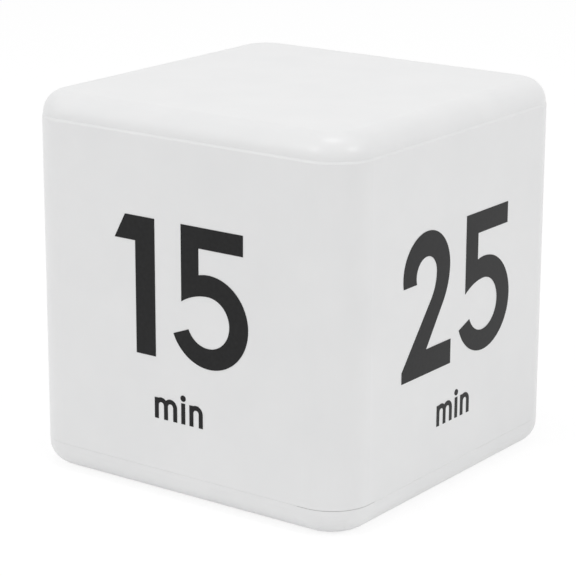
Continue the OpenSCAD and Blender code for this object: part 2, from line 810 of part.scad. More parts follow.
module main_board() {
    color("darkgreen") translate([0, 0, board_z]) difference() {
        linear_extrude(board_t) difference() {
            square([board_w, board_d], center = true);
            at_corners(board_notch + half / 2, board_notch + half / 2) square(half, center = true);
        }
        at_posts()
            translate([0, 0, -over]) cylinder(d = board_hole_d, h = board_t + 2 * over);
    }
}

module board_screws() {
    color("gray") at_posts()
        translate([0, 0, board_top]) screw(board_screw_d, board_screw_len, board_head_d, board_head_h);
}

module chip_blob() {
    ball_r = (pow(blob_d / 2, 2) + pow(blob_h, 2)) / (2 * blob_h);
    color("black") translate([blob_at[0], blob_at[1], board_top]) intersection() {
        translate([0, 0, blob_h - ball_r]) sphere(ball_r);
        cylinder(d = 2 * blob_d, h = 2 * blob_h);
    }
}

module crystal() {
    color("silver") translate([crystal_at[0], crystal_at[1], board_top + crystal_d / 2 + tilt_seat])
        rotate([0, 90, 0]) cylinder(d = crystal_d, h = crystal_l, center = true);
}

module chip_row(row, count, h) {
    for (k = [0:count - 1])
        translate([row[0] + k * chip_pitch, row[1], board_top + h / 2])
            cube([chip_size[0], chip_size[1], h], center = true);
}

module resistors() {
    color("black") chip_row(resistor_row, resistor_count, chip_size[2]);
}

module capacitors() {
    color("tan") chip_row(capacitor_row, capacitor_count, capacitor_h);
}

module capacitor_can() {
    color("silver") translate([can_at[0], can_at[1], board_top])
        cylinder(d = electrolyte_d, h = electrolyte_h);
}

// Places a tilt switch: its own axis is X, with the plug at the low end; a leans one way and b the other
module tilt_place(side) {
    translate([tilt_x + side * tilt_spread / 2, tilt_y, tilt_z])
        rotate([0, 0, side < 0 ? 45 : 135]) children();
}

module tilt_can() {
    bore_d = tilt_d - 2 * tilt_t;
    rotate([0, 90, 0]) difference() {
        cylinder(d = tilt_d, h = tilt_len, center = true);
        translate([0, 0, -tilt_len / 2 - over]) cylinder(d = bore_d, h = tilt_len - tilt_t + over);
    }
}

module tilt_plug() {
    translate([-tilt_len / 2, 0, 0]) rotate([0, 90, 0]) cylinder(d = tilt_d - 2 * tilt_t, h = plug_len);
}

module tilt_ball() {
    translate([ball_at, 0, 0]) sphere(d = ball_d);
}

module tilt_can_a() {
    color("goldenrod") tilt_place(-1) tilt_can();
}

module tilt_can_b() {
    color("goldenrod") tilt_place(1) tilt_can();
}

module tilt_plug_a() {
    color("black") tilt_place(-1) tilt_plug();
}

module tilt_plug_b() {
    color("black") tilt_place(1) tilt_plug();
}

module tilt_ball_a() {
    color("silver") tilt_place(-1) tilt_ball();
}

module tilt_ball_b() {
    color("silver") tilt_place(1) tilt_ball();
}

// The pins leave the plugs and bend down to the board
module tilt_pins() {
    drop = tilt_z - board_top;
    color("silver") for (side = [-1, 1], k = [-1, 1])
        tilt_place(side) translate([-tilt_len / 2 - pin_len, k * pin_pitch / 2 - pin_t / 2, -pin_t / 2]) {
            cube([pin_len, pin_t, pin_t]);
            translate([0, 0, pin_t / 2 - drop]) cube([pin_t, pin_t, drop]);
        }
}

module lcd_lens() {
    color("lightgray", 0.5) translate([0, window_y, lens_sink]) linear_extrude(lens_t)
        rounded_rect(lens_w, lens_d, lens_r);
}

module lcd_front_glass() {
    color("lightsteelblue", 0.6) translate([-lcd_w / 2, ledge_y, base_plate]) cube([lcd_w, lcd_d, glass_t]);
}

module lcd_rear_glass() {
    color("lightsteelblue", 0.6) translate([-lcd_w / 2, ledge_y + ledge, rear_z])
        cube([lcd_w, rear_d, glass_t]);
}

module lcd_reflector() {
    color("darkseagreen") translate([-lcd_w / 2, ledge_y + ledge, reflector_z])
        cube([lcd_w, rear_d, reflector_t]);
}

module lcd_holder() {
    pocket_w = lcd_w + 2 * holder_clear;
    pocket_d = lcd_d + 2 * holder_clear;
    color("whitesmoke") translate([0, 0, base_plate]) difference() {
        translate([-pocket_w / 2 - holder_t, ledge_y - holder_clear - holder_t, 0])
            cube([pocket_w + 2 * holder_t, pocket_d + 2 * holder_t, post_h]);
        translate([-pocket_w / 2, ledge_y - holder_clear, -over])
            cube([pocket_w, pocket_d, lcd_top - base_plate + roof_clear + over]);
        translate([-strip_l / 2 - holder_clear, ledge_y + ledge / 2 - strip_w / 2 - holder_clear, 0])
            cube([strip_l + 2 * holder_clear, strip_w + 2 * holder_clear, post_h + over]);
        translate([-lcd_w / 2 + roof_lap, ledge_y + ledge + roof_lap, 0])
            cube([lcd_w - 2 * roof_lap, rear_d - 2 * roof_lap, post_h + over]);
    }
}

module lcd_strip() {
    color("pink") translate([-strip_l / 2, ledge_y + ledge / 2 - strip_w / 2, rear_z])
        cube([strip_l, strip_w, board_z - rear_z]);
}

module buzzer_disc() {
    color("gold") translate([sounder_x, sounder_y, disc_z]) cylinder(d = disc_d, h = disc_t);
}

module buzzer_ceramic() {
    color("ivory") translate([sounder_x, sounder_y, ceramic_z]) cylinder(d = ceramic_d, h = ceramic_t);
}

// A sounder lead that leaves a face at height z, bows out and ends under the board
module thin_lead(r, z) {
    x = sounder_x + r;
    rise = board_z - z;
    lead([[x, sounder_y, z], [x, sounder_y, z + rise / 4], [x + thin_bow, sounder_y, z + rise / 2],
        [x, sounder_y, z + rise * 3 / 4], [x, sounder_y, board_z]], thin_lead_d, 2);
}

module buzzer_lead_a() {
    color("red") thin_lead(0, ceramic_z + ceramic_t);
}

module buzzer_lead_b() {
    color("black") thin_lead((disc_d + ceramic_d) / 4, ceramic_z);
}

module switch_can() {
    slot = lever_w + travel + 2 * lever_clear;
    color("silver") translate([switch_x, switch_y, can_z]) difference() {
        linear_extrude(can_h) square([can_l, can_w], center = true);
        translate([0, 0, can_t]) linear_extrude(can_h)
            square([can_l - 2 * can_t, can_w - 2 * can_t], center = true);
        translate([0, 0, -over]) linear_extrude(can_h)
            square([slot, lever_w + 2 * lever_clear], center = true);
    }
}

module switch_lever() {
    block_top = lever_block_z + block_h;
    color("black") translate([switch_x, switch_y, 0]) {
        translate([0, 0, lever_foot]) linear_extrude(block_top - lever_foot) square(lever_w, center = true);
        translate([0, 0, lever_block_z]) linear_extrude(block_h)
            square([lever_w + 2 * block_margin, can_w - 2 * can_t - 2 * lever_clear], center = true);
    }
}

module switch_knob() {
    pocket = lever_w + 2 * lever_clear;
    color("dimgray") translate([switch_x, switch_y, 0]) difference() {
        union() {
            translate([0, 0, knob_z]) linear_extrude(flange_t) square([flange_l, flange_w], center = true);
            translate([0, 0, nub_sink]) linear_extrude(knob_top - nub_sink)
                square([nub_l, nub_w], center = true);
        }
        translate([0, 0, knob_top - pocket_depth]) linear_extrude(pocket_depth + over)
            square(pocket, center = true);
        for (k = [-1:1])
            translate([k * nub_l / 4, 0, nub_sink - over]) linear_extrude(over + groove_depth)
                square([groove_w, nub_w + 2 * over], center = true);
    }
}

// Figures on a grid that is 100 high: the ends of a 5, and where it starts behind each tens figure
five_left = -7.8;
five_right = 58;
five_after_1 = 59.4;
five_after_2 = 78.1;
five_after_4 = 80;

module figure_1() {
    polygon([[0, 82], [9.7, 100], [36, 100], [36, 0], [18.6, 0], [18.6, 82]]);
}

module figure_2() {
    polygon(concat([[0, 0], [60.3, 0], [60.3, 17.4], [29.4, 17.4]],
        arc([14.2, 71.3], 43.4, -34.9, -4, 8),
        arc([29, 71.3], 28.6, 0, 191.9, 36),
        arc([28.7, 69.8], 12.6, 200.4, 4, 24),
        arc([11.4, 69.8], 29.9, 0, -38.8, 8),
        [[0, 8]]));
}

module figure_4() {
    difference() {
        polygon([[38, 0], [53.5, 0], [53.5, 19], [62, 19], [62, 33], [53.5, 33], [53.5, 100], [36, 100],
            [0, 34], [0, 19], [38, 19]]);
        polygon([[38, 33], [38, 72], [17, 33]]);
    }
}

module figure_5() {
    polygon(concat([[0, 100], [53.7, 100], [53.7, 85], [15.3, 85]],
        arc([24.1, 33.2], 33.9, 105, -157.7, 48),
        arc([23.2, 32.9], 18.7, -156.5, 86, 32),
        arc([23.2, 9.6], 42, 92, 123.5, 8)));
}

module figure(value) {
    if (value == 1) figure_1();
    if (value == 2) figure_2();
    if (value == 4) figure_4();
}

// Letters in their real size: arches of the n and the m, and where one meets the stem and its neighbour
arch_r = letter_stroke * 0.71;
arch_out = arch_r + letter_stroke;
arch_pitch = 2 * arch_r + letter_stroke;
arch_start = acos(arch_r / arch_out);
arch_meet = acos(arch_pitch / 2 / arch_out);
letter_gap = 0.85;
function arch_middle(k) = [arch_out + k * arch_pitch, letter_h - arch_out * sin(arch_start)];

// A stem with one arch is an n, and with two it is an m
module arched_letter(arches) {
    polygon(concat([[letter_stroke, 0], [0, 0], [0, letter_h]],
        [for (k = [0:arches - 1])
            each arc(arch_middle(k), arch_out, 180 - (k == 0 ? arch_start : arch_meet),
                k < arches - 1 ? arch_meet : 0, 12)],
        [for (k = [arches - 1:-1:0])
            each concat([[(k + 1) * arch_pitch + letter_stroke, 0], [(k + 1) * arch_pitch, 0]],
                arc(arch_middle(k), arch_r, 0, 180, 12))]));
}

module word_min() {
    i_at = 2 * arch_pitch + letter_stroke + letter_gap;
    n_at = i_at + letter_stroke + letter_gap;
    word_w = n_at + arch_pitch + letter_stroke;
    dot_r = letter_stroke * 0.67;
    translate([-word_w / 2, 0]) {
        arched_letter(2);
        translate([i_at, 0]) square([letter_stroke, letter_h]);
        translate([i_at + letter_stroke / 2, letter_h + 1.6 * dot_r]) circle(dot_r);
        translate([n_at, 0]) arched_letter(1);
    }
}

// The print of one face: a tens figure, a 5 at its own place on the figure grid, and the word below
module face_print(turn, h, shift, rise, tens, five_at) {
    left = tens > 0 ? 0 : five_left;
    grid = h / 100;
    color([0.2, 0.2, 0.2]) rotate([0, 0, turn]) translate([shift, -half, case_h / 2 + rise])
        rotate([90, 0, 0]) linear_extrude(ink_t) {
            translate([-(left + five_at + five_right) / 2 * grid, -h / 2]) scale(grid) {
                figure(tens);
                translate([five_at, 0]) figure_5();
            }
            translate([word_x, -word_drop]) word_min();
        }
}

module numerals_15() {
    face_print(0, front_figure_h, front_shift, front_rise, 1, five_after_1);
}

module numerals_25() {
    face_print(90, right_figure_h, right_shift, right_rise, 2, five_after_2);
}

module numerals_45() {
    face_print(180, hidden_figure_h, 0, hidden_rise, 4, five_after_4);
}

module numerals_5() {
    face_print(270, hidden_figure_h, 0, hidden_rise, 0, 0);
}

sleeve();
top_lid();
base_cover();
numerals_15();
numerals_25();
numerals_45();
numerals_5();
battery_deck();
cell_front();
cell_back();
contact_positive();
contact_negative();
contact_bridge();
spring_negative();
spring_bridge();
lead_positive();
lead_negative();
case_screws();
main_board();
board_screws();
chip_blob();
crystal();
resistors();
capacitors();
capacitor_can();
tilt_can_a();
tilt_plug_a();
tilt_ball_a();
tilt_can_b();
tilt_plug_b();
tilt_ball_b();
tilt_pins();
lcd_lens();
lcd_front_glass();
lcd_rear_glass();
lcd_reflector();
lcd_holder();
lcd_strip();
buzzer_disc();
buzzer_ceramic();
buzzer_lead_a();
buzzer_lead_b();
switch_can();
switch_lever();
switch_knob();
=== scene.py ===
import math
import bpy
from mathutils import Matrix, Vector


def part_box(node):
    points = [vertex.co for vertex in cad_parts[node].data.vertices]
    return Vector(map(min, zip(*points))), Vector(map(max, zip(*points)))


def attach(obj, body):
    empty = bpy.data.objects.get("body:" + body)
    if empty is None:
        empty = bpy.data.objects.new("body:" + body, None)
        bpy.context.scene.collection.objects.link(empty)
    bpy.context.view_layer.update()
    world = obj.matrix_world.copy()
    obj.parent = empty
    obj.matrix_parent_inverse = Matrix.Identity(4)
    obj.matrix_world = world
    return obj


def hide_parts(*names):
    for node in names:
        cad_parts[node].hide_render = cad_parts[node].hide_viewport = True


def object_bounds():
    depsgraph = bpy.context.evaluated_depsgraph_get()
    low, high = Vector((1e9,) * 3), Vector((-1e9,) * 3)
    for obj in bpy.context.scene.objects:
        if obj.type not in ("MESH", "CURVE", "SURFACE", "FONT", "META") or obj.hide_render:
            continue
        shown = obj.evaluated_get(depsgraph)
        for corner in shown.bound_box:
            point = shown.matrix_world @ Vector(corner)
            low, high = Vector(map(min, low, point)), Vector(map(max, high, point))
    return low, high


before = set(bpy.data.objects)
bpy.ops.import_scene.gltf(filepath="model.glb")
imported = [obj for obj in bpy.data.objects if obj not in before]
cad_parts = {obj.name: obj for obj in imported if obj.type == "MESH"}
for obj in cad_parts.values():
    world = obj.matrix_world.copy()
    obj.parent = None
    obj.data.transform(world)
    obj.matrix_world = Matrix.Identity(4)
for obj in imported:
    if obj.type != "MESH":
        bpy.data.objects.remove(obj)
cadLow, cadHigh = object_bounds()
mm = 0.001
near = 0.01 * mm  # places closer than this count as the same
faceOn = 0.9  # share of a normal along an axis, from which a face counts as facing that way
noiseSpan = (0.3, 0.7)  # most of a noise lies between these
noiseDetail = 3.0
wireRound = 3  # Blender's bevel resolution for a round wire
print("frame:", len(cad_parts), "CAD nodes")


# Small helpers for modelling by hand
def pickNothing():
    if bpy.context.mode != "OBJECT":
        bpy.ops.object.mode_set(mode="OBJECT")
    bpy.ops.object.select_all(action="DESELECT")


def pickOnly(piece):
    pickNothing()
    piece.select_set(True)
    bpy.context.view_layer.objects.active = piece


def nameNew(name):
    piece = bpy.context.object
    piece.name = piece.data.name = name
    return piece


def settle(piece):  # moves the place, turn and size of the object into its mesh
    pickOnly(piece)
    bpy.ops.object.transform_apply(location=True, rotation=True, scale=True)
    return piece


def pickFaces(piece, test):  # leaves edit mode on, with the faces that pass the test selected
    pickOnly(piece)
    bpy.ops.object.mode_set(mode="EDIT")
    bpy.ops.mesh.select_mode(type="FACE")
    bpy.ops.mesh.select_all(action="DESELECT")
    bpy.ops.object.mode_set(mode="OBJECT")
    for face in piece.data.polygons:
        face.select = test(face.center, face.normal)
    bpy.ops.object.mode_set(mode="EDIT")


def pickEdges(piece, test):  # the same for edges, by their two ends
    pickOnly(piece)
    bpy.ops.object.mode_set(mode="EDIT")
    bpy.ops.mesh.select_mode(type="EDGE")
    bpy.ops.mesh.select_all(action="DESELECT")
    bpy.ops.object.mode_set(mode="OBJECT")
    points = piece.data.vertices
    for edge in piece.data.edges:
        edge.select = test(*(points[i].co for i in edge.vertices))
    bpy.ops.object.mode_set(mode="EDIT")


def insetBy(width):  # in millimetres, on the faces that are selected
    bpy.ops.mesh.inset(thickness=width * mm)


def pushBy(x, y, z):
    bpy.ops.mesh.extrude_region_move(TRANSFORM_OT_translate={"value": (x * mm, y * mm, z * mm)})


def roundEdges(piece, test, width, segments=3):  # width in millimetres
    pickEdges(piece, test)
    bpy.ops.mesh.bevel(offset=width * mm, segments=segments, affect="EDGES")
    bpy.ops.object.mode_set(mode="OBJECT")


def copyTo(piece, place, turn=0.0):  # a copy with its own mesh, turned about Z and then moved
    pickOnly(piece)
    bpy.ops.object.duplicate()
    twin = bpy.context.object
    twin.location, twin.rotation_euler = place, (0, 0, turn)
    return settle(twin)


def discard(piece):
    pickOnly(piece)
    bpy.ops.object.delete()


def cutBy(piece, tool):
    pickOnly(piece)
    cut = piece.modifiers.new("cut", "BOOLEAN")
    cut.object, cut.solver = tool, "EXACT"
    bpy.ops.object.modifier_apply(modifier=cut.name)
    discard(tool)


def joinPieces(pieces, name):
    pickOnly(pieces[0])
    for piece in pieces:
        piece.select_set(True)
    if len(pieces) > 1:
        bpy.ops.object.join()
    return settle(nameNew(name))


def smooth(piece, angle=35):  # edges that bend by more degrees stay sharp
    pickOnly(piece)
    bpy.ops.object.shade_smooth_by_angle(angle=math.radians(angle))
    return piece


# Camera, from the photograph's outline
cameraFit = {
    "azimuth": 36.053, "elevation": 16.011, "roll": 0.186,  # degrees
    "distance": 382.94, "across": -1.476, "upwards": -3.070,  # millimetres from the middle of the case
    "lens": 146.0, "clipStart": 0.01,
}


def placeCamera():
    a, e, r = (math.radians(cameraFit[key]) for key in ("azimuth", "elevation", "roll"))
    back = Vector((math.sin(a) * math.cos(e), -math.cos(a) * math.cos(e), math.sin(e)))
    level = Vector((math.cos(a), math.sin(a), 0))
    upright = back.cross(level)
    right = level * math.cos(r) + upright * math.sin(r)
    top = upright * math.cos(r) - level * math.sin(r)
    middle = (cadLow + cadHigh) / 2
    aside = right * cameraFit["across"] + top * cameraFit["upwards"]
    place = middle + mm * (back * cameraFit["distance"] + aside)
    pickNothing()
    bpy.ops.object.camera_add()
    camera = nameNew("photoCamera")
    camera.matrix_world = Matrix.Translation(place) @ Matrix((right, top, back)).transposed().to_4x4()
    camera.data.lens = cameraFit["lens"]
    camera.data.clip_start = cameraFit["clipStart"]
    bpy.context.scene.camera = camera


# Stage: a white floor that keeps the shadow, and soft light from above
stageLook = {
    "floorSize": 8.0, "floorDrop": 0.05 * mm, "floorTone": 0.97,  # the floor lies just below the part
    "floorGlow": 0.84, "floorShade": 0.2,  # what camera and mirror rays see of the floor: glow and lit share
    "skyLight": 0.475,
}
lampTarget = (0, 0, 0.03)
lampLook = [  # name, place, size across, watts
    ("topLamp", (0.0, -0.07, 0.95), 0.27, 1.77),
    ("leftLamp", (-0.33, -0.78, 0.62), 0.28, 1.72),
    ("rightLamp", (0.83, -0.02, 0.66), 0.27, 1.95),
    ("leftPanel", (-0.485, -0.625, 0.56), 0.8, 0.9),
    ("rightPanel", (0.65, 0.33, 0.57), 0.8, 0.85),
]


def seenRays(tree):  # one for camera, glossy and transmission rays
    light = tree.nodes.new("ShaderNodeLightPath")
    total = light.outputs["Is Camera Ray"]
    for name in ("Is Glossy Ray", "Is Transmission Ray"):
        most = tree.nodes.new("ShaderNodeMath")
        most.operation = "MAXIMUM"
        tree.links.new(total, most.inputs[0])
        tree.links.new(light.outputs[name], most.inputs[1])
        total = most.outputs[0]
    return total


def setStage():
    scene = bpy.context.scene
    scene.view_settings.view_transform = "Standard"
    world = bpy.data.worlds.new("studio")
    scene.world = world
    world.use_nodes = True
    tree = world.node_tree
    sky = tree.nodes["Background"]
    sky.inputs["Color"].default_value = (1, 1, 1, 1)
    sky.inputs["Strength"].default_value = stageLook["skyLight"]
    plain = tree.nodes.new("ShaderNodeBackground")
    plain.inputs["Color"].default_value = (1, 1, 1, 1)
    either = tree.nodes.new("ShaderNodeMixShader")
    tree.links.new(seenRays(tree), either.inputs[0])
    tree.links.new(sky.outputs[0], either.inputs[1])
    tree.links.new(plain.outputs[0], either.inputs[2])
    tree.links.new(either.outputs[0], tree.nodes["World Output"].inputs["Surface"])

    pickNothing()
    bpy.ops.mesh.primitive_plane_add(size=stageLook["floorSize"], location=(0, 0, -stageLook["floorDrop"]))
    floor = nameNew("floor")
    paint = bpy.data.materials.new("floorPaint")
    paint.use_nodes = True
    tree = paint.node_tree
    tree.nodes.remove(tree.nodes["Principled BSDF"])
    real = tree.nodes.new("ShaderNodeBsdfDiffuse")
    real.inputs["Color"].default_value = (*(stageLook["floorTone"],) * 3, 1)
    glow = tree.nodes.new("ShaderNodeEmission")
    glow.inputs["Strength"].default_value = stageLook["floorGlow"]
    shade = tree.nodes.new("ShaderNodeBsdfDiffuse")
    shade.inputs["Color"].default_value = (*(stageLook["floorShade"],) * 3, 1)
    seen = tree.nodes.new("ShaderNodeAddShader")
    tree.links.new(glow.outputs[0], seen.inputs[0])
    tree.links.new(shade.outputs[0], seen.inputs[1])
    either = tree.nodes.new("ShaderNodeMixShader")
    tree.links.new(seenRays(tree), either.inputs[0])
    tree.links.new(real.outputs[0], either.inputs[1])
    tree.links.new(seen.outputs[0], either.inputs[2])
    tree.links.new(either.outputs[0], tree.nodes["Material Output"].inputs["Surface"])
    floor.data.materials.append(paint)

    for name, place, size, watts in lampLook:
        aim = (Vector(lampTarget) - Vector(place)).to_track_quat("-Z", "Y").to_euler()
        pickNothing()
        bpy.ops.object.light_add(type="AREA", location=place, rotation=aim)
        lamp = nameNew(name)
        lamp.data.size = size
        lamp.data.energy = watts


placeCamera()
setStage()
print("stage: camera, floor and", len(lampLook), "lamps")


# Finishes: every one has its own grain, in colour, gloss and relief
def addNode(tree, kind, **values):
    node = tree.nodes.new(kind)
    for name, value in values.items():
        node.inputs[name].default_value = value
    return node


def grainOf(tree, size, stretch):  # noise with flecks of the given size, in metres
    place = tree.nodes.new("ShaderNodeTexCoord")
    turn = addNode(tree, "ShaderNodeMapping", Scale=stretch)
    grain = addNode(tree, "ShaderNodeTexNoise", Scale=1 / size, Detail=noiseDetail)
    tree.links.new(place.outputs["Object"], turn.inputs["Vector"])
    tree.links.new(turn.outputs["Vector"], grain.inputs["Vector"])
    return grain.outputs["Fac"]


def spread(tree, value, low, high):  # maps the middle of a noise to a range
    fit = tree.nodes.new("ShaderNodeMapRange")
    for name, bound in zip(("From Min", "From Max", "To Min", "To Max"), (*noiseSpan, low, high)):
        fit.inputs[name].default_value = bound
    tree.links.new(value, fit.inputs["Value"])
    return fit.outputs["Result"]


def tintBy(tree, value, tones):  # runs through the tones as the value grows
    ramp = tree.nodes.new("ShaderNodeValToRGB")
    for stop, position, tone in zip(ramp.color_ramp.elements, noiseSpan, tones):
        stop.position, stop.color = position, (*tone, 1)
    tree.links.new(value, ramp.inputs["Fac"])
    return ramp.outputs["Color"]


def relief(tree, shader, value, depth, strength):
    bump = addNode(tree, "ShaderNodeBump", Strength=strength, Distance=depth)
    tree.links.new(value, bump.inputs["Height"])
    tree.links.new(bump.outputs["Normal"], shader.inputs["Normal"])


def makeFinish(name, look):
    finish = bpy.data.materials.new(name)
    finish.use_nodes = True
    tree = finish.node_tree
    shader = tree.nodes["Principled BSDF"]
    for socket, value in look.get("sockets", {}).items():
        shader.inputs[socket].default_value = value
    stretch = look.get("stretch", (1, 1, 1))
    cloud = grainOf(tree, look["cloud"] * mm, stretch)
    tree.links.new(tintBy(tree, cloud, look["tones"]), shader.inputs["Base Color"])
    grain = grainOf(tree, look["grain"] * mm, stretch)
    tree.links.new(spread(tree, grain, *look["rough"]), shader.inputs["Roughness"])
    relief(tree, shader, grain, look["depth"] * mm, look["strength"])
    return finish


def dress(finish, *names):
    for name in names:
        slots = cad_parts[name].data.materials
        slots.clear()
        slots.append(finish)


shellLook = {
    "tones": ((0.795, 0.797, 0.80), (0.815, 0.816, 0.818)), "cloud": 9.0,
    "grain": 0.35, "rough": (0.28, 0.33), "depth": 0.002, "strength": 0.15,
    "sockets": {"IOR": 1.36},
}
dress(makeFinish("whiteShell", shellLook), "sleeve", "top_lid", "base_cover")

printLook = {
    "tones": ((0.006, 0.006, 0.0065), (0.010, 0.010, 0.0105)), "cloud": 0.6,
    "grain": 0.12, "rough": (0.28, 0.36), "depth": 0.003, "strength": 0.3,
    "sockets": {"IOR": 1.3},
}
dress(makeFinish("printInk", printLook), "numerals_15", "numerals_25", "numerals_45", "numerals_5")

trayLook = {
    "tones": ((0.70, 0.70, 0.69), (0.73, 0.73, 0.72)), "cloud": 5.0,
    "grain": 0.2, "rough": (0.45, 0.58), "depth": 0.01, "strength": 0.35,
}
trayFinish = makeFinish("trayPlastic", trayLook)
dress(trayFinish, "battery_deck", "lcd_holder")

plateLook = {
    "tones": ((0.62, 0.61, 0.58), (0.74, 0.73, 0.70)), "cloud": 0.8, "stretch": (1, 1, 0.15),
    "grain": 0.15, "rough": (0.22, 0.38), "depth": 0.003, "strength": 0.4, "sockets": {"Metallic": 1.0},
}
plateFinish = makeFinish("nickelPlate", plateLook)
dress(plateFinish, "contact_positive", "contact_negative", "contact_bridge", "switch_can")

screwLook = {
    "tones": ((0.48, 0.48, 0.47), (0.62, 0.62, 0.61)), "cloud": 0.5,
    "grain": 0.1, "rough": (0.25, 0.42), "depth": 0.004, "strength": 0.4, "sockets": {"Metallic": 1.0},
}
screwFinish = makeFinish("zincScrew", screwLook)
dress(screwFinish, "case_screws", "board_screws")

canLook = {
    "tones": ((0.66, 0.67, 0.68), (0.78, 0.79, 0.80)), "cloud": 1.0, "stretch": (0.1, 1, 1),
    "grain": 0.12, "rough": (0.2, 0.34), "depth": 0.002, "strength": 0.4, "sockets": {"Metallic": 1.0},
}
dress(makeFinish("drawnCan", canLook), "crystal", "capacitor_can", "tilt_ball_a", "tilt_ball_b", "tilt_pins")

brassLook = {
    "tones": ((0.66, 0.47, 0.19), (0.78, 0.60, 0.29)), "cloud": 1.6,
    "grain": 0.15, "rough": (0.26, 0.42), "depth": 0.003, "strength": 0.4, "sockets": {"Metallic": 1.0},
}
dress(makeFinish("bareBrass", brassLook), "tilt_can_a", "tilt_can_b", "buzzer_disc")

ceramicLook = {
    "tones": ((0.68, 0.66, 0.58), (0.76, 0.74, 0.67)), "cloud": 1.2,
    "grain": 0.08, "rough": (0.5, 0.7), "depth": 0.006, "strength": 0.5,
}
dress(makeFinish("silveredCeramic", ceramicLook), "buzzer_ceramic")

blackPartLook = {
    "tones": ((0.018, 0.018, 0.020), (0.034, 0.034, 0.036)), "cloud": 0.8,
    "grain": 0.1, "rough": (0.35, 0.55), "depth": 0.005, "strength": 0.4,
}
dress(makeFinish("blackMoulding", blackPartLook), "chip_blob", "resistors", "tilt_plug_a", "tilt_plug_b",
      "switch_lever")

tanChipLook = {
    "tones": ((0.42, 0.28, 0.15), (0.52, 0.37, 0.21)), "cloud": 0.4,
    "grain": 0.06, "rough": (0.5, 0.65), "depth": 0.004, "strength": 0.4,
}
dress(makeFinish("tanCeramic", tanChipLook), "capacitors")

boardLook = {
    "tones": ((0.012, 0.10, 0.035), (0.03, 0.19, 0.07)), "cloud": 1.5, "stretch": (0.12, 1, 1),
    "grain": 0.4, "rough": (0.3, 0.45), "depth": 0.02, "strength": 0.5,
}
dress(makeFinish("solderMask", boardLook), "main_board")

stripLook = {
    "tones": ((0.62, 0.30, 0.30), (0.10, 0.09, 0.09)), "cloud": 0.5, "stretch": (1, 0.02, 0.02),
    "grain": 0.2, "rough": (0.6, 0.8), "depth": 0.01, "strength": 0.4,
}
dress(makeFinish("contactRubber", stripLook), "lcd_strip")

knobLook = {
    "tones": ((0.20, 0.205, 0.21), (0.25, 0.255, 0.26)), "cloud": 1.5,
    "grain": 0.12, "rough": (0.48, 0.62), "depth": 0.01, "strength": 0.5,
}
dress(makeFinish("greyKnob", knobLook), "switch_knob")

lensLook = {
    "tones": ((0.03, 0.034, 0.034), (0.05, 0.055, 0.055)), "cloud": 8.0,
    "grain": 0.5, "rough": (0.02, 0.05), "depth": 0.0005, "strength": 0.1,
    "sockets": {"Alpha": 0.12, "IOR": 1.49},
}
dress(makeFinish("clearLens", lensLook), "lcd_lens")

glassLook = {
    "tones": ((0.05, 0.07, 0.055), (0.07, 0.09, 0.075)), "cloud": 10.0,
    "grain": 0.6, "rough": (0.02, 0.04), "depth": 0.0003, "strength": 0.05,
    "sockets": {"Alpha": 0.06, "IOR": 1.52},
}
dress(makeFinish("displayGlass", glassLook), "lcd_front_glass")

reflectorLook = {
    "tones": ((0.46, 0.50, 0.42), (0.51, 0.55, 0.47)), "cloud": 0.5,
    "grain": 0.08, "rough": (0.4, 0.55), "depth": 0.004, "strength": 0.4,
}
reflectorFinish = makeFinish("pearlReflector", reflectorLook)
dress(reflectorFinish, "lcd_reflector", "lcd_rear_glass")  # the reflector shows through the rear glass
print("finishes:", len(bpy.data.materials), "materials")

# Cells: a wrapped can with a folded lip, a sunk end and a bright button
cellLook = {
    "buttonTall": 1.0, "buttonAcross": 3.8, "buttonRound": 0.3, "sides": 64,
    "lip": 0.7, "lipRound": 0.35, "wrapOver": 0.665,  # wrapOver is how far the wrap reaches over the end
    "sink": 0.25, "washer": 1.5, "endRim": 0.5, "endRise": 0.2,
    "wrap": {
        "tones": ((0.80, 0.80, 0.82), (1.0, 1.0, 1.0)), "cloud": 3.0,
        "grain": 0.2, "rough": (0.24, 0.36), "depth": 0.006, "strength": 0.35,
    },
    "bands": [(0.0, (0.16, 0.17, 0.185)), (0.74, (0.58, 0.58, 0.57)), (0.76, (0.045, 0.048, 0.052)),
              (0.94, (0.58, 0.58, 0.57))],  # along the cell from minus to plus
}


def makeWrap(name, minusX, plusX):
    finish = makeFinish(name, cellLook["wrap"])
    tree = finish.node_tree
    shader = tree.nodes["Principled BSDF"]
    place = tree.nodes.new("ShaderNodeTexCoord")
    split = tree.nodes.new("ShaderNodeSeparateXYZ")
    along = addNode(tree, "ShaderNodeMapRange", **{"From Min": minusX, "From Max": plusX})
    rings = tree.nodes.new("ShaderNodeValToRGB")
    rings.color_ramp.interpolation = "CONSTANT"
    stops = rings.color_ramp.elements
    for position, _ in cellLook["bands"][2:]:
        stops.new(position)
    for stop, (position, tone) in zip(stops, cellLook["bands"]):
        stop.position, stop.color = position, (*tone, 1)
    blend = tree.nodes.new("ShaderNodeVectorMath")
    blend.operation = "MULTIPLY"
    cloud = shader.inputs["Base Color"].links[0].from_socket
    tree.links.new(place.outputs["Object"], split.inputs[0])
    tree.links.new(split.outputs["X"], along.inputs["Value"])
    tree.links.new(along.outputs["Result"], rings.inputs["Fac"])
    tree.links.new(rings.outputs["Color"], blend.inputs[0])
    tree.links.new(cloud, blend.inputs[1])
    tree.links.new(blend.outputs[0], shader.inputs["Base Color"])
    return finish


